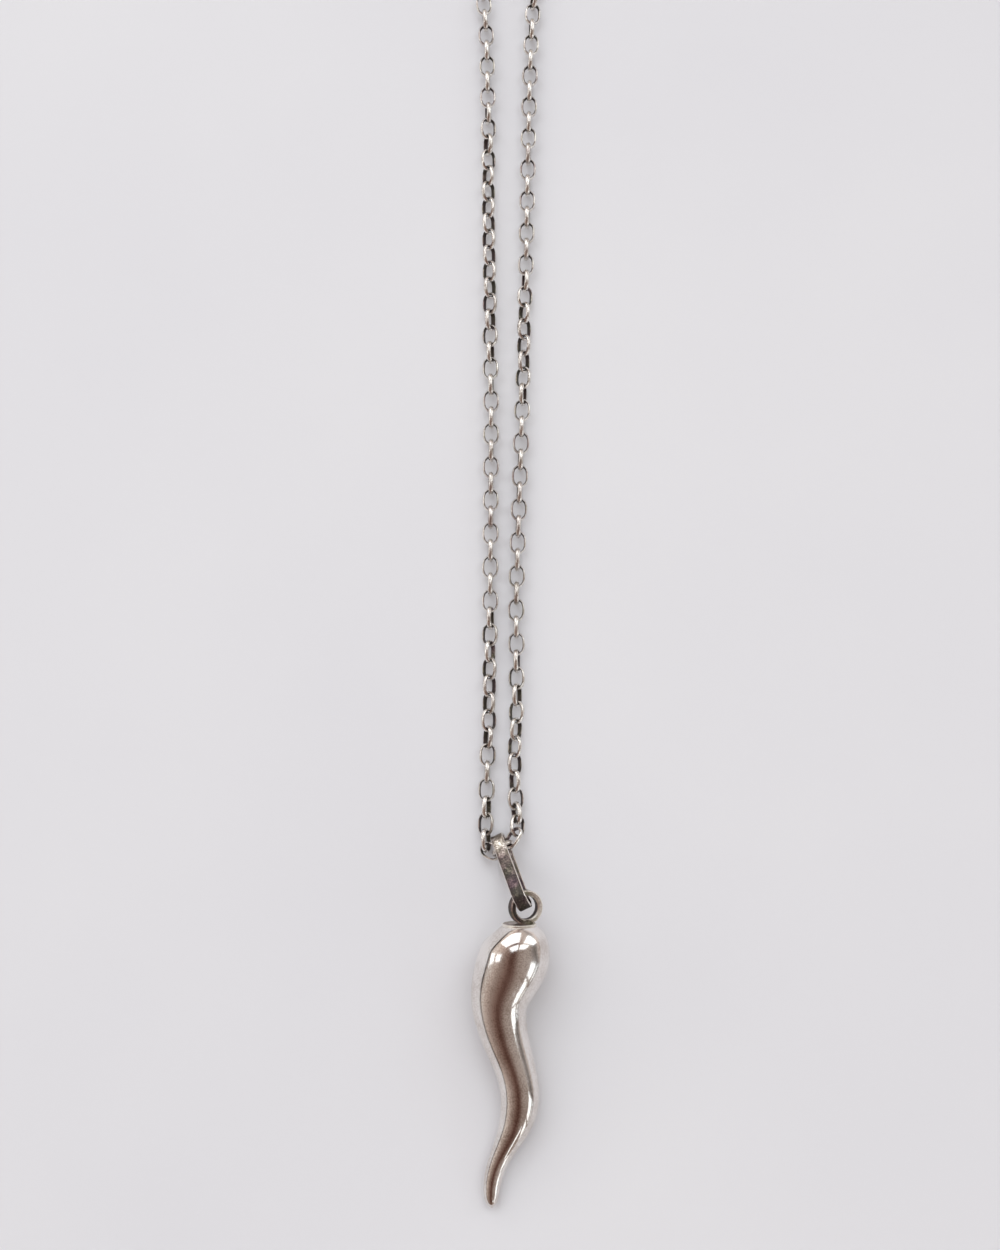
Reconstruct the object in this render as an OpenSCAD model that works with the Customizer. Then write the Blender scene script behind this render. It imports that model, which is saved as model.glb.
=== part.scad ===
// Cornicello horn pendant on a belcher chain, lying on a table.
// The table is Z = 0. +Y runs from the horn towards the clasp, +X is the right-hand side seen from above.

/* [Horn] */
// Straight length of the horn from its cap to its tip
horn_length = 35.4; // [25:0.1:60]
// Greatest diameter of the horn's head
horn_width = 9.2; // [8:0.1:16]
// How far the horn's middle line sways to the left
horn_sway = 3.6; // [0:0.1:6]

/* [Cap and ring] */
// Diameter of the flat cap on the horn's head
cap_d = 4.3; // [3:0.1:6]
// Height of the cap above the horn's flat end
cap_height = 0.3; // [0.1:0.05:1]
// Outer diameter of the ring soldered on the cap
ring_d = 4.4; // [3.6:0.1:7]
// Thickness of the ring from its outside to its hole
ring_wall = 0.7; // [0.4:0.05:0.75]
// Width of the ring along its own axis
ring_depth = 1.2; // [0.6:0.05:1.4]
// How far the ring stands to the right of the cap's middle
ring_shift = 0.8; // [0:0.1:1.2]
// How far the ring leans to the right about the horn's length
ring_lean = 22; // [0:1:25]
// Diameter of the solder fillet at the ring's foot
solder_d = 2.2; // [1.6:0.1:3]
// Height of the solder fillet at the ring's foot
solder_height = 0.45; // [0.2:0.05:0.8]

/* [Bail] */
// Length of the bail over its two rounded ends
bail_length = 11.7; // [9:0.1:16]
// Width of the bail's strip
bail_width = 1.7; // [1:0.05:2]
// Thickness of the bail's strip
bail_thickness = 0.35; // [0.2:0.05:0.6]
// Inside radius of the round end, which holds the chain
bail_round_r = 1.4; // [1.3:0.05:2.2]
// Inside radius of the narrow end, which holds the ring
bail_narrow_r = 1.25; // [1.1:0.05:1.35]
// How far the bail leans to the left about its own length
bail_lean = 10; // [0:1:15]

/* [Chain] */
// Length of a link outside
link_length = 3.2; // [3:0.05:5]
// Width of a link outside
link_width = 2.2; // [2:0.05:3]
// Thickness of a link's strip, seen on its face
link_wall = 0.28; // [0.2:0.02:0.4]
// Depth of a link's strip, seen on its edge
link_depth = 0.62; // [0.4:0.02:0.8]
// Free play between two links that hang in each other
link_play = 0.34; // [0.2:0.01:0.5]

/* [Clasp] */
// Outer diameter of the clasp's ring
clasp_d = 5.8; // [4:0.1:9]
// Wire diameter of the clasp's ring
clasp_wire = 0.9; // [0.7:0.05:1]
// Outer diameter of the clasp's eyelet
eyelet_d = 2.4; // [2.2:0.1:3]
// Outer diameter of the jump ring at the chain's end
end_ring_d = 2.8; // [2.8:0.1:4]
// Wire diameter of the eyelet and of the jump ring
small_wire = 0.45; // [0.3:0.05:0.5]
// Free play between the chain and the clasp's small rings
clasp_play = 0.2; // [0.1:0.01:0.25]

/* [Hidden] */
$fn = 48;

// Sections of the horn from the cap to the tip. ALONG is a share of horn_length, SIDE of horn_sway, and UP and WIDE,
// the height of the middle above the table and the diameter, are shares of horn_width.
ALONG = 0;
SIDE = 1;
UP = 2;
WIDE = 3;
HORN = [
    [0.000,  0.00, 0.622, 0.485],
    [0.012,  0.00, 0.615, 0.610],
    [0.046,  0.00, 0.595, 0.830],
    [0.089, -0.07, 0.552, 0.960],
    [0.135, -0.24, 0.502, 1.000],
    [0.195, -0.50, 0.477, 0.935],
    [0.242, -0.65, 0.464, 0.855],
    [0.284, -0.70, 0.450, 0.785],
    [0.338, -0.66, 0.428, 0.710],
    [0.419, -0.45, 0.388, 0.640],
    [0.501, -0.13, 0.343, 0.550],
    [0.586,  0.04, 0.295, 0.550],
    [0.639,  0.02, 0.271, 0.530],
    [0.689, -0.08, 0.245, 0.485],
    [0.742, -0.28, 0.216, 0.400],
    [0.798, -0.57, 0.186, 0.305],
    [0.851, -0.81, 0.158, 0.270],
    [0.904, -0.95, 0.133, 0.250],
    [0.958, -0.99, 0.114, 0.220],
    [0.988, -0.97, 0.103, 0.150],
    [1.002, -0.96, 0.098, 0.000],
];
horn_sides = 40;
horn_steps = 3;

// Where the chain lies, from the clasp's left side down to the horn and back up to the clasp's right side.
// Each row is X, Y, how far the chain is lifted there, and the turn of the even links about the chain's length.
// The clasp's own size gives the last place.
ROUTE = [
    [ -4.5,  138.7, 0.2,   90],
    [ -8.0,  138.3, 0.2,   90],
    [-13.5,  135.4, 0.1,   90],
    [-18.8,  129.2, 0.0,   90],
    [-21.6,  119.2, 0.0,   90],
    [-20.9,  104.7, 0.0,   90],
    [-17.0,   87.0, 0.0,   90],
    [-10.5,   61.0, 0.0,   90],
    [ -5.8,   38.0, 0.0,   90],
    [ -3.4,   20.4, 0.0,   90],
    [ -2.9,    8.0, 0.0,   90],
    [ -2.8,    0.0, 0.0,   65],
    [ -2.8,   -8.0, 0.0,   45],
    [ -2.6,  -20.0, 0.0,   40],
    [ -2.5,  -30.0, 0.0,   12],
    [ -2.4,  -38.0, 0.0,    0],
    [ -2.5,  -61.4, 0.0,    0],
    [ -2.5,  -66.0, 0.0,   15],
    [ -2.6,  -74.0, 0.0,   42],
    [ -2.7,  -80.0, 0.0,   60],
    [ -2.9,  -86.0, 0.0,   88],
    [ -3.0,  -91.9, 0.0,  115],
    [ -3.1,  -94.0, 0.1,  115],
    [ -3.0,  -96.2, 0.1,  110],
    [ -1.8,  -96.8, 0.7,   80],
    [  0.1,  -95.5, 0.9,   55],
    [  1.0,  -94.1, 0.9,   35],
    [  1.1,  -92.3, 0.4,   35],
    [  0.9,  -90.8, 0.0,   15],
    [  0.7,  -84.0, 0.0,   45],
    [  1.0,  -78.0, 0.0,   60],
    [  1.0,  -70.0, 0.0,   85],
    [  1.0,  -62.0, 0.0,   90],
    [  1.7,  -40.0, 0.0,   90],
    [  2.0,  -31.0, 0.0,   55],
    [  2.1,  -24.0, 0.0,   35],
    [  2.4,  -15.0, 0.0,    0],
    [  2.8,    4.5, 0.0,    0],
    [  3.1,   14.0, 0.0,    0],
    [  3.6,   22.0, 0.0,   15],
    [  6.0,   38.0, 0.0,   50],
    [ 10.7,   61.0, 0.0,   90],
    [ 17.0,   87.0, 0.0,   90],
    [ 20.9,  104.7, 0.0,   90],
    [ 21.6,  119.2, 0.0,   90],
    [ 18.8,  129.2, 0.0,   90],
    [ 13.5,  135.4, 0.1,   90],
    [  8.2,  138.3, 0.2,   90],
];
// Between these two rows the chain turns back through the bail, and each row is a place where two links join.
turn_first = 21;
turn_last = 28;
// The link that lies in the bail joins its neighbours at this row and the next.
bail_row = 24;

// A smooth curve through the rows of a list, with the given number of steps between two rows.
function blend(a, b, c, d, t) =
    (2 * b + (c - a) * t + (2 * a - 5 * b + 4 * c - d) * t * t + (3 * b - a - 3 * c + d) * t * t * t) / 2;
function smooth(rows, steps) = concat(
    [
        for (i = [0:len(rows) - 2], k = [0:steps - 1])
            blend(rows[max(i - 1, 0)], rows[i], rows[i + 1], rows[min(i + 2, len(rows) - 1)], k / steps)
    ],
    [rows[len(rows) - 1]]
);
function part_of(list, first, last) = [for (i = [first:last]) list[i]];
function place(row) = [row[0], row[1], row[2]];
function unit(v) = v / norm(v);
function turned(v, a) =
    let (
        x = [v[0], v[1] * cos(a[0]) - v[2] * sin(a[0]), v[1] * sin(a[0]) + v[2] * cos(a[0])],
        y = [x[0] * cos(a[1]) + x[2] * sin(a[1]), x[1], x[2] * cos(a[1]) - x[0] * sin(a[1])]
    )
    [y[0] * cos(a[2]) - y[1] * sin(a[2]), y[0] * sin(a[2]) + y[1] * cos(a[2]), y[2]];

// Chain: an even number of links at equal distances along each strand, and joints at the chosen rows in the bail.
link_pitch = link_length - 2 * link_wall - link_play;
function run_lengths(path) =
    [for (i = 0, s = 0; i < len(path); i = i + 1, s = i < len(path) ? s + norm(place(path[i]) - place(path[i - 1])) : s) s];
function at_length(path, lengths, s) =
    [for (k = [0:3]) lookup(s, [for (i = [0:len(path) - 1]) [lengths[i], path[i][k]]])];
function joints_along(rows) =
    let (
        path = smooth(rows, 12),
        lengths = run_lengths(path),
        total = lengths[len(lengths) - 1],
        count = 2 * ceil(total / link_pitch / 2)
    )
    [for (i = [0:count]) at_length(path, lengths, total * i / count)];
link_end = (link_length - link_pitch) / 2 - link_wall;
eyelet_r = (eyelet_d - small_wire) / 2;
clasp_r = (clasp_d - clasp_wire) / 2;
end_ring_hole = end_ring_d / 2 - small_wire;
eyelet_x = ROUTE[0][0] + link_end - clasp_play - small_wire / 2 + eyelet_r;
clasp_x = eyelet_x + eyelet_r + 0.4 * (small_wire + clasp_wire) + clasp_r;
end_ring_x = clasp_x + clasp_r - clasp_wire / 2 - clasp_play + end_ring_hole;
closing_x = end_ring_x + end_ring_hole - clasp_play + link_end;
closing_row = [closing_x, ROUTE[0][1], ROUTE[0][2], 90];
left_joints = joints_along(part_of(ROUTE, 0, turn_first));
right_joints = joints_along(concat(part_of(ROUTE, turn_last, len(ROUTE) - 1), [closing_row]));
turn_joints = part_of(ROUTE, turn_first + 1, turn_last - 1);
chain_rest = norm([link_width / 2, link_depth / 2]);
joints = [for (row = concat(left_joints, turn_joints, right_joints)) row + [0, 0, chain_rest, 0]];
link_count = len(joints) - 1;
bail_link = len(left_joints) + bail_row - turn_first - 1;

// Horn: the middle line, and the cap that its first two sections face.
horn_path = [
    for (row = smooth(HORN, horn_steps))
        [row[SIDE] * horn_sway, -row[ALONG] * horn_length, row[UP] * horn_width, row[WIDE] * horn_width / 2]
];
cap_middle = place(horn_path[0]);
cap_way = cap_middle - place(horn_path[1]);
cap_turn = [asin(unit(cap_way)[2]), 0, atan2(-cap_way[0], cap_way[1])];
ring_rise = cap_height + ring_d / 2 - solder_height / 3;
// How deep the cap is set into the horn's head.
cap_root = 0.8;

// Bail: it hangs from the ring's wire, and its round end lies on the table round the chain.
ring_spot = 117;
bail_drop = 0.45;
ring_wire_r = (ring_d - ring_wall) / 2 - bail_drop;
ring_point = [ring_wire_r * cos(ring_spot), ring_wire_r * sin(ring_spot), 0];
hang_point = cap_middle + turned([ring_shift, ring_rise, 0] + turned(ring_point, [0, ring_lean, 0]), cap_turn);
bail_heading = -70;
bail_span = bail_length - bail_round_r - bail_narrow_r - 2 * bail_thickness;
bail_rest = (bail_round_r + bail_thickness) * cos(bail_lean) + bail_width / 2 * sin(bail_lean);
bail_rise = asin((hang_point[2] - bail_rest) / bail_span);
bail_slack = 0.2;
bail_shift = 0;
link_in_bail = (place(joints[bail_link]) + place(joints[bail_link + 1])) / 2;
bail_reach = bail_span * cos(bail_rise) - bail_slack;
horn_place = [
    link_in_bail[0] + bail_reach * cos(bail_heading) - bail_shift * sin(bail_heading) - hang_point[0],
    link_in_bail[1] + bail_reach * sin(bail_heading) + bail_shift * cos(bail_heading) - hang_point[1],
    0
];

// One ring of points round the horn's middle line, square to it.
function horn_ring(i) =
    let (
        before = place(horn_path[max(i - 1, 0)]),
        after = place(horn_path[min(i + 1, len(horn_path) - 1)]),
        way = unit(after - before),
        across = unit(cross(way, [0, 0, 1])),
        up = cross(across, way),
        r = horn_path[i][3]
    )
    [for (k = [0:horn_sides - 1])
        place(horn_path[i]) + r * (cos(360 * k / horn_sides) * across + sin(360 * k / horn_sides) * up)];

module horn_body() {
    rings = len(horn_path) - 1;
    points = concat(
        [for (i = [0:rings - 1]) each horn_ring(i)],
        [cap_middle, place(horn_path[rings])]
    );
    last = rings - 1;
    walls = [
        for (i = [0:last - 1], k = [0:horn_sides - 1])
            let (
                n = (k + 1) % horn_sides,
                a = i * horn_sides + k,
                b = i * horn_sides + n,
                c = a + horn_sides,
                d = b + horn_sides
            )
            each [[a, b, d], [a, d, c]]
    ];
    head = [for (k = [0:horn_sides - 1]) [rings * horn_sides, (k + 1) % horn_sides, k]];
    tip = [
        for (k = [0:horn_sides - 1])
            [rings * horn_sides + 1, last * horn_sides + k, last * horn_sides + (k + 1) % horn_sides]
    ];
    polyhedron(points, concat(walls, head, tip));
}

module on_cap() {
    translate(cap_middle)
        rotate(cap_turn)
            children();
}

module ring_section() {
    chamfer = ring_wall / 5;
    half = ring_depth / 2;
    polygon([
        [0, -half + chamfer], [chamfer, -half], [ring_wall - chamfer, -half], [ring_wall, -half + chamfer],
        [ring_wall, half - chamfer], [ring_wall - chamfer, half], [chamfer, half], [0, half - chamfer]
    ]);
}

module soldered_ring() {
    rotate_extrude()
        translate([ring_d / 2 - ring_wall, 0])
            ring_section();
}

module horn() {
    color("silver")
        translate(horn_place)
            union() {
                horn_body();
                on_cap() {
                    rotate([-90, 0, 0])
                        translate([0, 0, -cap_root])
                            cylinder(h = cap_root + cap_height, d = cap_d);
                    translate([ring_shift, cap_height, 0])
                        rotate([-90, 0, 0])
                            translate([0, 0, -solder_height / 2])
                                cylinder(h = solder_height * 1.5, d1 = solder_d, d2 = solder_d * 0.7);
                    translate([ring_shift, ring_rise, 0])
                        rotate([0, ring_lean, 0])
                            soldered_ring();
                }
            }
}

// The outline round two circles of radius a and b, whose middles lie a span apart.
module teardrop(a, b, span) {
    lean = acos((a - b) / span);
    circle(a);
    translate([span, 0])
        circle(b);
    polygon([
        a * [cos(lean), -sin(lean)],
        [span, 0] + b * [cos(lean), -sin(lean)],
        [span, 0] + b * [cos(lean), sin(lean)],
        a * [cos(lean), sin(lean)]
    ]);
}

module bail() {
    color("gray")
        translate(horn_place + hang_point)
            rotate([bail_lean, -bail_rise, bail_heading])
                translate([-bail_span, 0, 0])
                    rotate([90, 0, 0])
                        linear_extrude(bail_width, center = true)
                            difference() {
                                teardrop(bail_round_r + bail_thickness, bail_narrow_r + bail_thickness, bail_span);
                                teardrop(bail_round_r, bail_narrow_r, bail_span);
                            }
}

// A flat oval of the given half width, with the link's straight sides.
module oval(half) {
    straight = link_length - link_width;
    for (end = [-straight / 2, straight / 2])
        translate([end, 0])
            circle(half);
    square([straight, 2 * half], center = true);
}

module link() {
    linear_extrude(link_depth, center = true)
        difference() {
            oval(link_width / 2);
            oval(link_width / 2 - link_wall);
        }
}

// Puts what follows between two joints of the chain, with its length along X.
module between(a, b, roll) {
    way = unit(b - a);
    translate((a + b) / 2)
        rotate([roll, -asin(way[2]), atan2(way[1], way[0])])
            children();
}

function link_roll(i) = (joints[i][3] + joints[i + 1][3]) / 2 + 90 * abs((i - bail_link) % 2);

module chain() {
    color("dimgray")
        for (i = [0:link_count - 1])
            between(place(joints[i]), place(joints[i + 1]), link_roll(i))
                link();
}

module wire_ring(outer, wire) {
    rotate_extrude()
        translate([(outer - wire) / 2, 0])
            circle(d = wire);
}

// The clasp's ring leans so that its far side lies on the table.
module clasp() {
    height = chain_rest + ROUTE[0][2];
    lean = asin((height - clasp_wire / 2) / clasp_r);
    color("silver")
        translate([0, ROUTE[0][1], height])
            union() {
                translate([eyelet_x, 0, 0])
                    rotate([link_roll(0) + 90, 0, 0])
                        wire_ring(eyelet_d, small_wire);
                translate([clasp_x, 0, 0])
                    rotate([-lean, 0, 0])
                        wire_ring(clasp_d, clasp_wire);
            }
}

module end_ring() {
    color("silver")
        translate([end_ring_x, ROUTE[0][1], end_ring_d / 2])
            rotate([90, 0, 0])
                wire_ring(end_ring_d, small_wire);
}

horn();
bail();
chain();
clasp();
end_ring();
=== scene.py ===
import math
import random
import bmesh
import bpy
import numpy as np
from mathutils import Matrix, Vector


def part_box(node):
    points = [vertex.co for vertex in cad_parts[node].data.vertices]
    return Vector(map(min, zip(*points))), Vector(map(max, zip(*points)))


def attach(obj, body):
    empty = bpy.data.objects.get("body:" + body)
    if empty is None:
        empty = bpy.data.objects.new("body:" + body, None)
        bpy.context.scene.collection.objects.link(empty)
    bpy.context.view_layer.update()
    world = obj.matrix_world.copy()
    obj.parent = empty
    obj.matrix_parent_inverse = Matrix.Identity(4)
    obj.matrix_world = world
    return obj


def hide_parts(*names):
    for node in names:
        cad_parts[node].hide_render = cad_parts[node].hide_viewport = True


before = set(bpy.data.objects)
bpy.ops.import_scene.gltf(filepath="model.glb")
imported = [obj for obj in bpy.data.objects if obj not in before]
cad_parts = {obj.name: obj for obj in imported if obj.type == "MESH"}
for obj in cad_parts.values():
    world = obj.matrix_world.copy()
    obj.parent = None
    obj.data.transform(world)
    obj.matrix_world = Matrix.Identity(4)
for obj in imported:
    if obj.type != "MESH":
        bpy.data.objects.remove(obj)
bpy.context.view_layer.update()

# Horn body
# The charm is a curved horn with a bulging head, cast or pressed in silver and closed at its head. It is polished to
# a mirror by hand, so its surface waves very slightly and carries hairline scratches.
MM = 0.001
horn_length = 35.4
horn_width = 9.2
horn_sway = 3.6
# Sections from the cap to the tip: share of the length, share of the sway, height of the middle and diameter as
# shares of the width.
horn_sections = [
    (0.000, 0.00, 0.622, 0.485), (0.012, 0.00, 0.615, 0.610), (0.046, 0.00, 0.595, 0.830),
    (0.089, -0.07, 0.552, 0.960), (0.135, -0.24, 0.502, 1.000), (0.195, -0.50, 0.477, 0.935),
    (0.242, -0.65, 0.464, 0.855), (0.284, -0.70, 0.450, 0.785), (0.338, -0.66, 0.428, 0.710),
    (0.419, -0.45, 0.388, 0.640), (0.501, -0.13, 0.343, 0.550), (0.586, 0.04, 0.295, 0.550),
    (0.639, 0.02, 0.271, 0.530), (0.689, -0.08, 0.245, 0.485), (0.742, -0.28, 0.216, 0.400),
    (0.798, -0.57, 0.186, 0.305), (0.851, -0.81, 0.158, 0.270), (0.904, -0.95, 0.133, 0.250),
    (0.958, -0.99, 0.114, 0.220), (0.988, -0.97, 0.103, 0.150), (1.002, -0.96, 0.098, 0.004),
]
horn_sides = 72
# Where the cap's middle lies from the lower left corner of the horn's box, in millimetres.
cap_from_corner = (6.21, 35.47)
horn_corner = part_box("horn")[0]
horn_place = Vector((horn_corner.x + cap_from_corner[0] * MM, horn_corner.y + cap_from_corner[1] * MM, 0))


def linear(code):
    """An sRGB hex colour as the linear colour that Blender takes."""
    parts = [int(code[i:i + 2], 16) / 255 for i in (0, 2, 4)]
    return [c / 12.92 if c < 0.04045 else ((c + 0.055) / 1.055) ** 2.4 for c in parts] + [1]


def add(owner, kind, inputs=None, **settings):
    """Adds one node to a material or the world, with its settings, values and links, and returns it."""
    new = owner.node_tree.nodes.new("ShaderNode" + kind)
    for name, value in settings.items():
        setattr(new, name, value)
    for name, value in (inputs or {}).items():
        if isinstance(value, bpy.types.NodeSocket):
            owner.node_tree.links.new(value, new.inputs[name])
        else:
            new.inputs[name].default_value = value
    return new


def cleared(owner):
    """Empties the nodes of a new material or world, and returns it."""
    owner.use_nodes = True
    owner.node_tree.nodes.clear()
    return owner


def every(spacing):
    """The scale of a noise whose marks lie about so many millimetres apart."""
    return 1 / (spacing * MM)


def piece(name, bm, material, sharp=None):
    """Makes the object of a finished bmesh, smooth-shaded, with edges sharper than the given angle left crisp."""
    bmesh.ops.recalc_face_normals(bm, faces=bm.faces)
    for face in bm.faces:
        face.smooth = True
    if sharp is not None:
        for edge in bm.edges:
            edge.smooth = not edge.is_manifold or edge.calc_face_angle() < math.radians(sharp)
    mesh = bpy.data.meshes.new(name)
    bm.to_mesh(mesh)
    bm.free()
    mesh.materials.append(material)
    made = bpy.data.objects.new(name, mesh)
    bpy.context.scene.collection.objects.link(made)
    return made


def fair_rows(rows, steps, passes):
    """A smooth curve through the given rows, with its small kinks evened out in a few passes."""
    rows = np.array(rows, float)
    fine = []
    for i in range(len(rows) - 1):
        a, b, c, d = rows[max(i - 1, 0)], rows[i], rows[i + 1], rows[min(i + 2, len(rows) - 1)]
        slope, bend, twist = c - a, 2 * a - 5 * b + 4 * c - d, 3 * b - a - 3 * c + d
        for t in np.arange(steps) / steps:
            fine.append((2 * b + slope * t + bend * t ** 2 + twist * t ** 3) / 2)
    fine = np.array(fine + [rows[-1]])
    for _ in range(passes):
        fine[1:-1] = (fine[:-2] + 2 * fine[1:-1] + fine[2:]) / 4
    return fine


def section_frame(middle, way, radius):
    """The matrix that puts a unit circle round the middle, square to the way, at the given radius."""
    across = way.cross(Vector((0, 0, 1))).normalized()
    up = across.cross(way).normalized()
    turn = Matrix((across, up, way.normalized())).transposed().to_4x4()
    return Matrix.Translation(middle) @ turn @ Matrix.Scale(radius, 4)


horn_rows = fair_rows(horn_sections, steps=8, passes=40)
horn_middles = [Vector((r[1] * horn_sway, -r[0] * horn_length, r[2] * horn_width)) * MM for r in horn_rows]
horn_radii = [r[3] * horn_width / 2 * MM for r in horn_rows]
horn_bm = bmesh.new()
previous = None
loop = None
for i, (middle, radius) in enumerate(zip(horn_middles, horn_radii)):
    way = horn_middles[min(i + 1, len(horn_middles) - 1)] - horn_middles[max(i - 1, 0)]
    here = Matrix.Translation(horn_place) @ section_frame(middle, way, radius)
    if loop is None:
        made = bmesh.ops.create_circle(horn_bm, cap_ends=True, segments=horn_sides, radius=1, matrix=here)
        loop = list({edge for vert in made["verts"] for edge in vert.link_edges})
    else:
        out = bmesh.ops.extrude_edge_only(horn_bm, edges=loop)["geom"]
        verts = [item for item in out if isinstance(item, bmesh.types.BMVert)]
        loop = [item for item in out if isinstance(item, bmesh.types.BMEdge)]
        bmesh.ops.transform(horn_bm, matrix=here @ previous.inverted(), verts=verts)
    previous = here
bmesh.ops.pointmerge(horn_bm, verts=verts, merge_co=here.translation)

# Polished silver: an even bright metal that mirrors the room, a little warm. Buffing leaves hairlines about 0.05 mm
# apart, drawn at 0.25 mm so that they show, a faint waviness a few millimetres long, and a haze. Tiny marks of wear,
# about 0.05 mm across and drawn at 0.19 mm, speckle its tone.
polished = cleared(bpy.data.materials.new("polished_silver"))
place = add(polished, "TexCoord").outputs["Object"]
haze = add(polished, "TexNoise", {"Vector": place, "Scale": every(3.846), "Detail": 5}).outputs["Fac"]
along_hairs = add(polished, "Mapping", {
    "Vector": place, "Rotation": (0.2, 0.3, 0.25), "Scale": (1, 0.12, 1)}).outputs[0]
hairlines = add(polished, "TexNoise", {"Vector": along_hairs, "Scale": every(0.25), "Detail": 3}).outputs["Fac"]
waves = add(polished, "TexNoise", {"Vector": place, "Scale": every(4.545), "Detail": 1}).outputs["Fac"]
gloss = add(polished, "MapRange", {
    "Value": haze, "From Min": 0.35, "From Max": 0.7, "To Min": 0.08, "To Max": 0.19}).outputs[0]
specks = add(polished, "TexNoise", {
    "Vector": place, "Scale": every(0.1923), "Detail": 2, "Roughness": 0.7}).outputs["Fac"]
mottle = add(polished, "Math", {0: haze, 1: specks}, operation="ADD").outputs[0]
tone_place = add(polished, "MapRange", {"Value": mottle, "From Min": 0.8, "From Max": 1.2}).outputs[0]
tone = add(polished, "ValToRGB", {"Fac": tone_place})
tone.color_ramp.elements[0].position = 0.0
tone.color_ramp.elements[0].color = linear("CFC6BF")
tone.color_ramp.elements[1].position = 0.8
tone.color_ramp.elements[1].color = linear("F2EEEA")
soft = add(polished, "Bump", {"Height": waves, "Strength": 0.25, "Distance": 0.00002}).outputs[0]
fine = add(polished, "Bump", {
    "Height": hairlines, "Strength": 0.55, "Distance": 0.000006, "Normal": soft}).outputs[0]
silver = add(polished, "BsdfPrincipled", {
    "Base Color": tone.outputs[0], "Metallic": 1.0, "Roughness": gloss, "Normal": fine})
add(polished, "OutputMaterial", {"Surface": silver.outputs[0]})

horn_body = piece("horn_body", horn_bm, polished, sharp=50)
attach(horn_body, "root")
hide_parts("horn")

# Cap, solder and ring
# A flat silver disc closes the horn's head, and a jump ring stands on it in a small fillet of solder. The polishing
# wheel can't reach in here, so the disc, the solder and the ring's inside stay dark with sulphide tarnish.
cap_d = 4.3
cap_height = 0.3
cap_root = 0.8
cap_rim_round = 0.09
cap_tilt = 8.6
ring_d = 4.4
ring_wall = 0.7
ring_depth = 1.2
ring_shift = 0.8
ring_rise = 2.35
ring_lean = 22
# Half the solder's length, width and height, and how much wider its foot is.
solder_half = (1.0, 0.85, 0.62)
solder_flare = 0.25
cap_matrix = Matrix.Translation(horn_place + horn_middles[0]) @ Matrix.Rotation(math.radians(cap_tilt), 4, "X")


def tarnished(name, bright, dull, dark, amount, rough):
    """Silver under a film of tarnish. It is dark and less like metal where the film is thick, with green and purple
    casts, and bright where wear has taken it off, which the piece's own wear attribute says; on some parts that
    attribute also holds painted highlight and painted shade. The amount is how far millimetre patches and finer grime
    change that, and rough is the roughness under the film and where it is bare."""
    made = cleared(bpy.data.materials.new(name))
    place = add(made, "TexCoord").outputs["Object"]
    worn = add(made, "Attribute", attribute_name="wear").outputs["Fac"]
    patches = add(made, "TexNoise", {
        "Vector": place, "Scale": every(1.111), "Detail": 6, "Roughness": 0.65}).outputs["Fac"]
    grime = add(made, "TexNoise", {
        "Vector": place, "Scale": every(0.2381), "Detail": 4, "Roughness": 0.6}).outputs["Fac"]
    both = add(made, "Math", {0: patches, 1: grime}, operation="ADD").outputs[0]
    film = add(made, "MapRange", {
        "Value": both, "From Min": 0.75, "From Max": 1.3, "To Min": -amount, "To Max": amount}).outputs[0]
    shown = add(made, "Math", {0: worn, 1: film}, operation="ADD", use_clamp=True).outputs[0]
    ramp = add(made, "ValToRGB", {"Fac": shown})
    ramp.color_ramp.elements[0].position = 0.12
    ramp.color_ramp.elements[0].color = linear(dark)
    ramp.color_ramp.elements[1].position = 0.85
    ramp.color_ramp.elements[1].color = linear(bright)
    ramp.color_ramp.elements.new(0.5).color = linear(dull)
    drift = add(made, "TexNoise", {"Vector": place, "Scale": every(2.632), "Detail": 1}).outputs["Fac"]
    hues = add(made, "ValToRGB", {"Fac": drift})
    hues.color_ramp.elements[0].position = 0.4
    hues.color_ramp.elements[0].color = linear("E6F0D2")
    hues.color_ramp.elements[1].position = 0.6
    hues.color_ramp.elements[1].color = linear("F4DCE8")
    cover = add(made, "MapRange", {
        "Value": shown, "From Min": 0.2, "From Max": 0.8, "To Min": 1, "To Max": 0}).outputs[0]
    colour = add(made, "Mix", {
        0: cover, 6: ramp.outputs[0], 7: hues.outputs[0]}, data_type="RGBA", blend_type="MULTIPLY").outputs[2]
    metal = add(made, "MapRange", {
        "Value": shown, "From Min": 0.1, "From Max": 0.55, "To Min": 0.45, "To Max": 1}).outputs[0]
    gloss = add(made, "MapRange", {
        "Value": shown, "From Min": 0.1, "From Max": 0.9, "To Min": rough[0], "To Max": rough[1]}).outputs[0]
    skin = add(made, "Bump", {"Height": grime, "Strength": 0.5, "Distance": 0.00003}).outputs[0]
    silver = add(made, "BsdfPrincipled", {
        "Base Color": colour, "Metallic": metal, "Roughness": gloss, "Normal": skin})
    add(made, "OutputMaterial", {"Surface": silver.outputs[0]})
    return made


def set_wear_and_shading(bm, measure):
    """Stores, for each face, how far wear has bared it, with painted highlight and painted shade on some parts: 0 is
    under tarnish and 1 is bright. The measure takes the middle of the face and a corner of it."""
    layer = bm.loops.layers.float.new("wear")
    for face in bm.faces:
        middle = face.calc_center_median()
        for loop in face.loops:
            loop[layer] = measure(middle, loop.vert.co)


# Soldered silver is left matt by the flame and the pickling, and goes a brown grey.
joint_silver = tarnished("tarnished_joint_silver", "F0EBE2", "A2978C", "38332C", 0.2, (0.5, 0.34))

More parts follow.
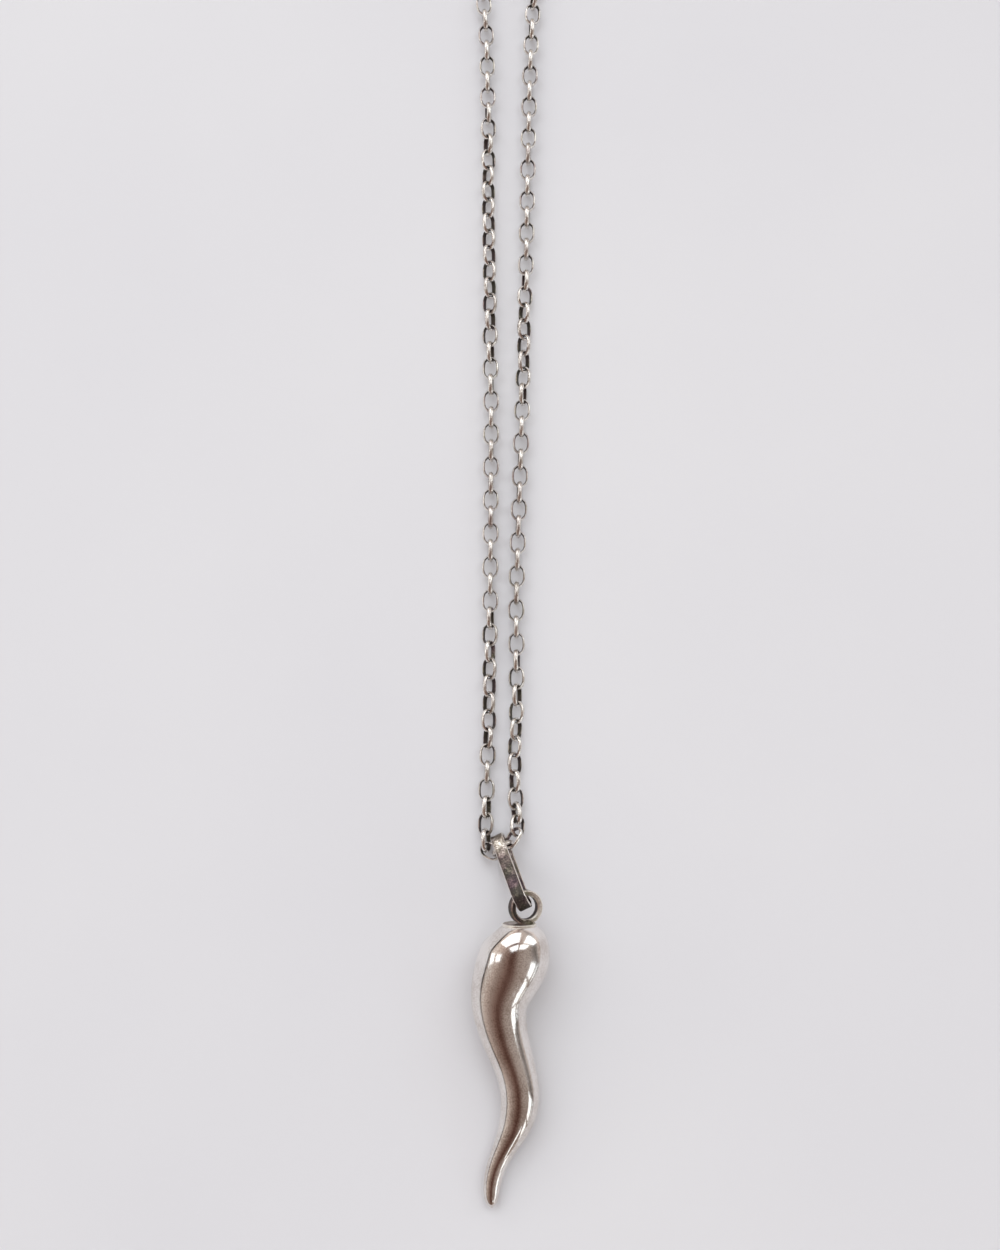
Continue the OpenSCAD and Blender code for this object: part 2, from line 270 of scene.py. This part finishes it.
# The disc goes on under the horn's end, and its rounded rim is rubbed.
cap_bm = bmesh.new()
cap_turn = Matrix.Rotation(math.radians(-90), 4, "X")
bmesh.ops.create_cone(
    cap_bm, cap_ends=True, segments=64, radius1=cap_d / 2 * MM, radius2=cap_d / 2 * MM,
    depth=(cap_root + cap_height) * MM,
    matrix=cap_turn @ Matrix.Translation((0, 0, (cap_height - cap_root) / 2 * MM)))
rim = [e for e in cap_bm.edges if all(v.co.y > 0 for v in e.verts) and len({round(v.co.y, 7) for v in e.verts}) == 1]
bmesh.ops.bevel(cap_bm, geom=rim, offset=cap_rim_round * MM, segments=3, profile=0.5, affect="EDGES", material=-1)
face_level = (cap_height - 0.005) * MM
# The flat face is drawn darker than the rounded rim, partly tarnish and partly painted shade.
set_wear_and_shading(cap_bm, lambda middle, co: 0.9 if middle.y < face_level else 0.58)
bmesh.ops.transform(cap_bm, matrix=cap_matrix, verts=cap_bm.verts)
horn_cap = piece("horn_cap", cap_bm, joint_silver, sharp=40)

solder_bm = bmesh.new()
bmesh.ops.create_uvsphere(solder_bm, u_segments=32, v_segments=16, radius=1)
for vert in solder_bm.verts:
    flare = 1 + solder_flare * max(0, -vert.co.z)
    vert.co *= Vector((solder_half[0] * flare, solder_half[1] * flare, solder_half[2])) * MM
bmesh.ops.transform(
    solder_bm, matrix=cap_matrix @ Matrix.Translation(Vector((ring_shift, cap_height, 0)) * MM) @ cap_turn,
    verts=solder_bm.verts)
set_wear_and_shading(solder_bm, lambda middle, co: 0.25)
horn_solder = piece("horn_solder", solder_bm, joint_silver)

ring_bm = bmesh.new()
inner, outer, half = ring_d / 2 - ring_wall, ring_d / 2, ring_depth / 2
chamfer = 0.16
ring_profile = [
    (inner, -half + chamfer), (inner + chamfer, -half), (outer - chamfer, -half), (outer, -half + chamfer),
    (outer, half - chamfer), (outer - chamfer, half), (inner + chamfer, half), (inner, half - chamfer),
]


def profile_loop(bm, points):
    """A closed loop of edges through the given points, and its corners."""
    verts = [bm.verts.new(point) for point in points]
    return verts + [bm.edges.new((verts[i - 1], verts[i])) for i in range(len(verts))]


bmesh.ops.spin(
    ring_bm, geom=profile_loop(ring_bm, [Vector((x, 0, z)) * MM for x, z in ring_profile]),
    cent=(0, 0, 0), axis=(0, 0, 1), angle=math.tau, steps=64, use_merge=True)


def ring_wear_highlight_and_shade(middle, co):
    """The rounded rims of the side that faces up are rubbed, and the walls are dark."""
    # Painted highlight and painted shade: the upper side and its rims get lighter to the right and darker to the
    # left.
    right = co.x / (outer * MM)
    if middle.z > (half - 0.01) * MM:
        return 0.40 + 0.5 * right
    return 0.75 + 0.25 * right if middle.z > (half - chamfer) * MM else 0.12


set_wear_and_shading(ring_bm, ring_wear_highlight_and_shade)
ring_lift = Matrix.Translation(Vector((ring_shift, ring_rise, 0)) * MM)
bmesh.ops.transform(
    ring_bm, matrix=cap_matrix @ ring_lift @ Matrix.Rotation(math.radians(ring_lean), 4, "Y"), verts=ring_bm.verts)
horn_ring = piece("horn_ring", ring_bm, joint_silver, sharp=35)
for part in (horn_cap, horn_solder, horn_ring):
    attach(part, "root")

# Bail
# The bail is one strip of silver, folded to a long loop that passes through the ring and holds the chain. It has gone
# dark in the wearing, with a purple-grey film, and its edges and fold are rubbed bright. Its edges also carry a
# painted highlight, and painted shade darkens it towards its far end by the ring.
bail_span = 8.35
bail_round_r = 1.4
bail_narrow_r = 1.25
bail_thickness = 0.35
bail_width = 1.7
bail_heading = -70
bail_slope = -33.6
bail_lean = 10
# The middle of the bail's narrow end, from the cap's middle on the table.
hang_from_cap = (0.211, 3.521, 6.495)
bail_matrix = (
    Matrix.Translation(horn_place + Vector(hang_from_cap) * MM)
    @ Matrix.Rotation(math.radians(bail_heading), 4, "Z")
    @ Matrix.Rotation(math.radians(bail_slope), 4, "Y")
    @ Matrix.Rotation(math.radians(bail_lean), 4, "X")
    @ Matrix.Translation((-bail_span * MM, 0, 0))
    @ Matrix.Rotation(math.radians(90), 4, "X")
)


def long_loop(bm, profile, near_r, far_r, span, steps, straight):
    """Sweeps a closed profile round two ends of the given radii, whose middles lie a span apart, and along the two
    straight sides between them. A profile point is how far out it lies from the radius, and its height."""
    lean = math.acos((near_r - far_r) / span)
    start = Vector((math.cos(lean), math.sin(lean), 0))
    geom = profile_loop(bm, [(start * (near_r + out) + Vector((0, 0, up))) * MM for out, up in profile])
    for centre, angle, side in ((0, math.tau - 2 * lean, -1), (span, 2 * lean, 1)):
        geom = bmesh.ops.spin(
            bm, geom=geom, cent=(centre * MM, 0, 0), axis=(0, 0, 1), angle=angle, steps=steps)["geom_last"]
        edge_way = Vector((math.cos(lean), side * math.sin(lean), 0))
        run = (Vector((span, 0, 0)) + edge_way * (far_r - near_r)) * -side * MM
        for _ in range(straight):
            last = [g for g in geom if isinstance(g, bmesh.types.BMEdge)]
            geom = bmesh.ops.extrude_edge_only(bm, edges=last)["geom"]
            moved = [g for g in geom if isinstance(g, bmesh.types.BMVert)]
            bmesh.ops.translate(bm, vec=run / straight, verts=moved)
        geom = [g for g in geom if not isinstance(g, bmesh.types.BMFace)]
    bmesh.ops.remove_doubles(bm, verts=bm.verts, dist=0.0005 * MM)


# The strip's section, with rounded corners and its two flats in three parts.
bail_bm = bmesh.new()
round_off = 0.1
thick, side, part_way = bail_thickness, bail_width / 2, 0.35 * bail_width / 2
bail_profile = [
    (0, -side + round_off), (round_off, -side), (thick - round_off, -side), (thick, -side + round_off),
    (thick, -part_way), (thick, part_way), (thick, side - round_off), (thick - round_off, side),
    (round_off, side), (0, side - round_off), (0, part_way), (0, -part_way),
]
long_loop(bail_bm, bail_profile, bail_round_r, bail_narrow_r, bail_span, steps=20, straight=12)


def bail_wear_highlight_and_shade(middle, co):
    """Edges are rubbed bright, with a painted highlight, the fold less so, and painted shade darkens the far end."""
    # The edges are bright from rubbing and from a painted highlight.
    if abs(middle.z) > (side - round_off) * MM:
        return 0.95
    fold_at, fold_reach = 0.9, 1.2
    along = co.x / MM
    # The fold is rubbed lighter, and painted shade darkens the strip towards its far end by the ring.
    return 0.42 + 0.3 * math.exp(-((along - fold_at) / fold_reach) ** 2) - 0.03 * max(0, along)


set_wear_and_shading(bail_bm, bail_wear_highlight_and_shade)
bmesh.ops.transform(bail_bm, matrix=bail_matrix, verts=bail_bm.verts)
# Worn strip: smooth from the skin and the cloth, with its film in purple and green patches.
bail_silver = tarnished("tarnished_bail_silver", "EDE6DE", "8F8280", "40373A", 0.3, (0.4, 0.18))
bail = piece("bail_strip", bail_bm, bail_silver, sharp=50)
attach(bail, "root")
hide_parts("bail")

# Chain
# A belcher chain of oval links, each bent from half-round silver strip with the round side out and closed with
# solder. Hollows are black with tarnish, and the round outsides, which rub, are bright.
link_length = 3.2
link_width = 2.2
link_wall = 0.28
link_depth = 0.62
link_shoulder = 0.17
# How much narrower a link gets towards its two ends, which makes it oval.
link_taper = 0.09


def loose_frames(mesh):
    """The middle and the long and wide directions of each separate solid in a CAD node's mesh."""
    bm = bmesh.new()
    bm.from_mesh(mesh)
    bmesh.ops.remove_doubles(bm, verts=bm.verts, dist=0.001 * MM)
    left = set(bm.faces)
    found = []
    while left:
        start = left.pop()
        group, waiting = [start], [start]
        while waiting:
            for edge in waiting.pop().edges:
                for other in edge.link_faces:
                    if other in left:
                        left.discard(other)
                        group.append(other)
                        waiting.append(other)
        corners = np.array([[vert.co for vert in face.verts] for face in group])
        areas = np.array([face.calc_area() for face in group])
        middle = (corners.mean(1) * areas[:, None]).sum(0) / areas.sum()
        corners = corners - middle
        sums = corners.sum(1)
        spread = np.einsum("f,fci,fcj->ij", areas, corners, corners) + np.einsum("f,fi,fj->ij", areas, sums, sums)
        _, axes = np.linalg.eigh(spread)
        found.append((Vector(middle), Vector(axes[:, 2]), Vector(axes[:, 1])))
    bm.free()
    return found


# The section of half-round strip: a flat inside, two shoulders and a narrower outside.
link_bm = bmesh.new()
deep = link_depth / 2
link_profile = [
    (-link_wall, -deep * 0.86), (-link_wall, deep * 0.86), (-link_shoulder, deep), (0, deep * 0.5),
    (0, -deep * 0.5), (-link_shoulder, -deep),
]
long_loop(link_bm, link_profile, link_width / 2, link_width / 2, link_length - link_width, steps=6, straight=2)
bmesh.ops.translate(link_bm, vec=Vector((-(link_length - link_width) / 2 * MM, 0, 0)), verts=link_bm.verts)
for vert in link_bm.verts:
    vert.co.y *= 1 - link_taper * abs(vert.co.x) / (link_length / 2 * MM)


def link_wear(middle, co):
    """The inside wall is dark, the sides are half bright and the round outside is bare."""
    past = max(0, abs(middle.x) - (link_length - link_width) / 2 * MM)
    from_inside = math.hypot(past, middle.y) - (link_width / 2 - link_wall) * MM
    return 0.06 if from_inside < 0.02 * MM else (0.5 if from_inside < 0.12 * MM else 0.9)


set_wear_and_shading(link_bm, link_wear)
wear = link_bm.loops.layers.float["wear"]
template = list(link_bm.verts) + list(link_bm.edges) + list(link_bm.faces)
# Each link takes the place of one solid, and is rubbed a little more or less than its neighbours.
dice = random.Random(7)
places = sorted(loose_frames(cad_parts["chain"].data), key=lambda found: (found[0].x > 0, found[0].y))
for middle, along, across in places:
    turn = Matrix((along, across, along.cross(across))).transposed().to_4x4()
    copy = bmesh.ops.duplicate(link_bm, geom=template)["geom"]
    verts = [g for g in copy if isinstance(g, bmesh.types.BMVert)]
    bmesh.ops.transform(link_bm, matrix=Matrix.Translation(middle) @ turn, verts=verts)
    rub = dice.uniform(-0.12, 0.12)
    for face in copy:
        if isinstance(face, bmesh.types.BMFace):
            for loop in face.loops:
                loop[wear] += rub
bmesh.ops.delete(link_bm, geom=[g for g in template if isinstance(g, bmesh.types.BMVert)], context="VERTS")

# Fine chain silver: blackened in the hollows, and bright where the links rub on skin and cloth.
chain_silver = tarnished("tarnished_chain_silver", "F2EEE8", "A89C94", "3C3330", 0.25, (0.42, 0.26))
chain = piece("chain_links", link_bm, chain_silver, sharp=66)
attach(chain, "root")
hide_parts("chain")

# Clasp and end ring
# The two ends of the chain meet at a plain ring with a soldered eyelet, and a small jump ring closes the chain to it.
# Both are drawn silver wire, lightly tarnished by wear.
clasp_silver = cleared(bpy.data.materials.new("clasp_silver"))
place = add(clasp_silver, "TexCoord").outputs["Object"]
film = add(clasp_silver, "TexNoise", {"Vector": place, "Scale": every(0.8333), "Detail": 5}).outputs["Fac"]
ramp = add(clasp_silver, "ValToRGB", {"Fac": film})
ramp.color_ramp.elements[0].position = 0.35
ramp.color_ramp.elements[0].color = linear("7A6E67")
ramp.color_ramp.elements[1].position = 0.6
ramp.color_ramp.elements[1].color = linear("DDD4CB")
gloss = add(clasp_silver, "MapRange", {
    "Value": film, "From Min": 0.35, "From Max": 0.6, "To Min": 0.35, "To Max": 0.14}).outputs[0]
skin = add(clasp_silver, "Bump", {"Height": film, "Strength": 0.3, "Distance": 0.00003}).outputs[0]
silver = add(clasp_silver, "BsdfPrincipled", {
    "Base Color": ramp.outputs[0], "Metallic": 1.0, "Roughness": gloss, "Normal": skin})
add(clasp_silver, "OutputMaterial", {"Surface": silver.outputs[0]})
for name in ("clasp", "end_ring"):
    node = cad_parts[name]
    node.data.materials.clear()
    node.data.materials.append(clasp_silver)

# Paper, light and camera
# The necklace lies on smooth off-white board of pressed pulp, matt, with fibres drawn a millimetre apart so that they
# show. A window in four panes lights it from beyond the chain, with small panes on the left and narrow ones on the
# right, in a warm grey room.
paper = cleared(bpy.data.materials.new("smooth_board"))
place = add(paper, "TexCoord").outputs["Object"]
fibre_place = add(paper, "Mapping", {"Vector": place, "Scale": (0.25, 1, 1)}).outputs[0]
fibres = add(paper, "TexNoise", {
    "Vector": fibre_place, "Scale": every(1.111), "Detail": 6, "Roughness": 0.6}).outputs["Fac"]
cloud = add(paper, "TexNoise", {"Vector": place, "Scale": every(71.43), "Detail": 3}).outputs["Fac"]
paper_tone = add(paper, "ValToRGB", {"Fac": cloud})
paper_tone.color_ramp.elements[0].position = 0.3
paper_tone.color_ramp.elements[0].color = linear("DAD8DB")
paper_tone.color_ramp.elements[1].position = 0.7
paper_tone.color_ramp.elements[1].color = linear("DEDCDE")
relief = add(paper, "Bump", {"Height": fibres, "Strength": 0.15, "Distance": 0.00005}).outputs[0]
board = add(paper, "BsdfPrincipled", {"Base Color": paper_tone.outputs[0], "Roughness": 0.75, "Normal": relief})
add(paper, "OutputMaterial", {"Surface": board.outputs[0]})
table_bm = bmesh.new()
half_table = 1.1
bmesh.ops.create_grid(table_bm, x_segments=1, y_segments=1, size=half_table)
table = piece("table", table_bm, paper)

# What the silver mirrors from its left side over the top to its right: a dim far wall, a pale wall, a brown ceiling
# with a dark beam that looms wider behind the horn's tip, and a pale wall again. Turns are in radians from straight
# up, and reach a little past the level on both sides.
room = cleared(bpy.data.worlds.new("room"))
beam = -0.17
reach = 1.65
way = add(room, "SeparateXYZ", {"Vector": add(room, "TexCoord").outputs["Generated"]})
turn = add(room, "Math", {0: way.outputs["X"], 1: way.outputs["Z"]}, operation="ARCTAN2").outputs[0]
behind = add(room, "Math", {0: way.outputs["Y"], 1: 0.0}, operation="MINIMUM").outputs[0]
nearer = add(room, "Math", {0: behind, 1: 0.6, 2: 1.0}, operation="MULTIPLY_ADD").outputs[0]
from_beam = add(room, "Math", {0: turn, 1: beam}, operation="SUBTRACT").outputs[0]
spread = add(room, "Math", {0: from_beam, 1: nearer, 2: beam}, operation="MULTIPLY_ADD").outputs[0]
across = add(room, "MapRange", {"Value": spread, "From Min": -reach, "From Max": reach}).outputs[0]
walls = add(room, "ValToRGB", {"Fac": across})
stops = (
    (0.04, "6A605A"), (0.065, "B4AAA4"), (0.135, "CCC2BB"), (0.215, "B3A39A"), (0.30, "8F7D74"), (0.386, "745C53"),
    (0.436, "583F37"), (0.461, "583F37"), (0.501, "6E5850"), (0.558, "94857D"), (0.625, "9E918A"), (0.725, "A0958E"),
    (0.785, "8A817D"), (0.85, "66605D"), (0.928, "B9AFAA"),
)
for element, (position, colour) in zip(walls.color_ramp.elements, (stops[0], stops[-1])):
    element.position = position
    element.color = linear(colour)
for position, colour in stops[1:-1]:
    walls.color_ramp.elements.new(position).color = linear(colour)
# The far wall on the left has a dark foot, which draws a thin line down the horn's left side, and the walls round the
# window are paler.
brightness = 1.1
foot = add(room, "MapRange", {
    "Value": way.outputs["Z"], "From Min": 0.07, "From Max": 0.13, "To Min": 0.22, "To Max": brightness}).outputs[0]
elsewhere = add(room, "MapRange", {
    "Value": way.outputs["X"], "From Min": -0.6, "From Max": -0.3, "To Min": 0, "To Max": brightness}).outputs[0]
shaded = add(room, "Math", {0: foot, 1: elsewhere}, operation="MAXIMUM").outputs[0]
window_side = add(room, "MapRange", {
    "Value": way.outputs["Y"], "From Min": 0.15, "From Max": 0.5, "To Min": 1, "To Max": 1.4}).outputs[0]
strength = add(room, "Math", {0: shaded, 1: window_side}, operation="MULTIPLY").outputs[0]
glow = add(room, "Background", {"Color": walls.outputs[0], "Strength": strength})
add(room, "OutputWorld", {"Surface": glow.outputs[0]})
bpy.context.scene.world = room


def panel(name, middle, size, aim, strength):
    """A soft rectangular light of the given width and height, in metres, that faces the point aimed at, with its
    strength in watts for each square metre."""
    light = bpy.data.lights.new(name, "AREA")
    light.shape = "RECTANGLE"
    light.size, light.size_y = size
    light.energy = strength * light.size * light.size_y
    light.color = linear("F0FAFF")[:3]
    made = bpy.data.objects.new(name, light)
    bpy.context.scene.collection.objects.link(made)
    made.location = middle
    made.rotation_euler = (Vector(aim) - Vector(middle)).to_track_quat("-Z", "Y").to_euler()
    return made


# The lights' places are in metres from the middle of the horn's head.
head = horn_place + Vector((0, -0.004, 0.005))
wall_way = 0.7
window_strength = 5.5
side_strength = 4.5
for name, x, z, width, tall in (
    ("pane_low_left", -0.38, 0.62, 0.90, 0.75),
    ("pane_low_right", 1.10, 0.72, 1.30, 0.75),
    ("pane_high_left", -0.32, 1.95, 0.78, 1.30),
    ("pane_high_right", 0.80, 1.95, 1.10, 1.20),
):
    middle = head + Vector((x, wall_way, z))
    panel(name, middle, (width, tall), middle - Vector((0, 1, 0)), window_strength)
for name, y, width in (("slat_near", -0.425, 0.39), ("slat_past", -0.875, 0.35)):
    for z, tall in ((0.335, 0.31), (0.075, 0.05)):
        middle = head + Vector((wall_way, y, z))
        panel(name, middle, (width, tall), middle - Vector((1, 0, 0)), side_strength)
panel("slat_far", head + Vector((0.45, -1.0, 0.60)), (0.24, 0.12), head, strength=5.208)
for name, z, tall in (("side_high", 0.585, 0.31), ("side_low", 0.225, 0.17)):
    middle = head + Vector((-wall_way, 0.16, z))
    panel(name, middle, (0.28, tall), middle + Vector((1, 0, 0)), side_strength)
# Light from the whole room above falls on the paper, but is too weak and wide to show in the metal.
room_light = panel("room_light", (-0.2, 0.1, 1.4), (2.4, 2.4), (0, -0.03, 0), strength=3.125)
room_light.visible_glossy = False

# The photo is 1250 pixels tall, and its lens lies as if 1875 pixels from it.
photo_tall = 1250
lens_away = 1875
camera_tilt = 8.5
camera_data = bpy.data.cameras.new("camera")
camera_data.sensor_fit = "VERTICAL"
camera_data.angle_y = 2 * math.atan(photo_tall / 2 / lens_away)
camera_data.clip_start = 0.01
camera = bpy.data.objects.new("camera", camera_data)
bpy.context.scene.collection.objects.link(camera)
camera.location = (-0.0012, -0.10345, 0.24725)
camera.rotation_euler = (math.radians(camera_tilt), 0, 0)
bpy.context.scene.camera = camera
bpy.context.scene.view_settings.view_transform = "Standard"
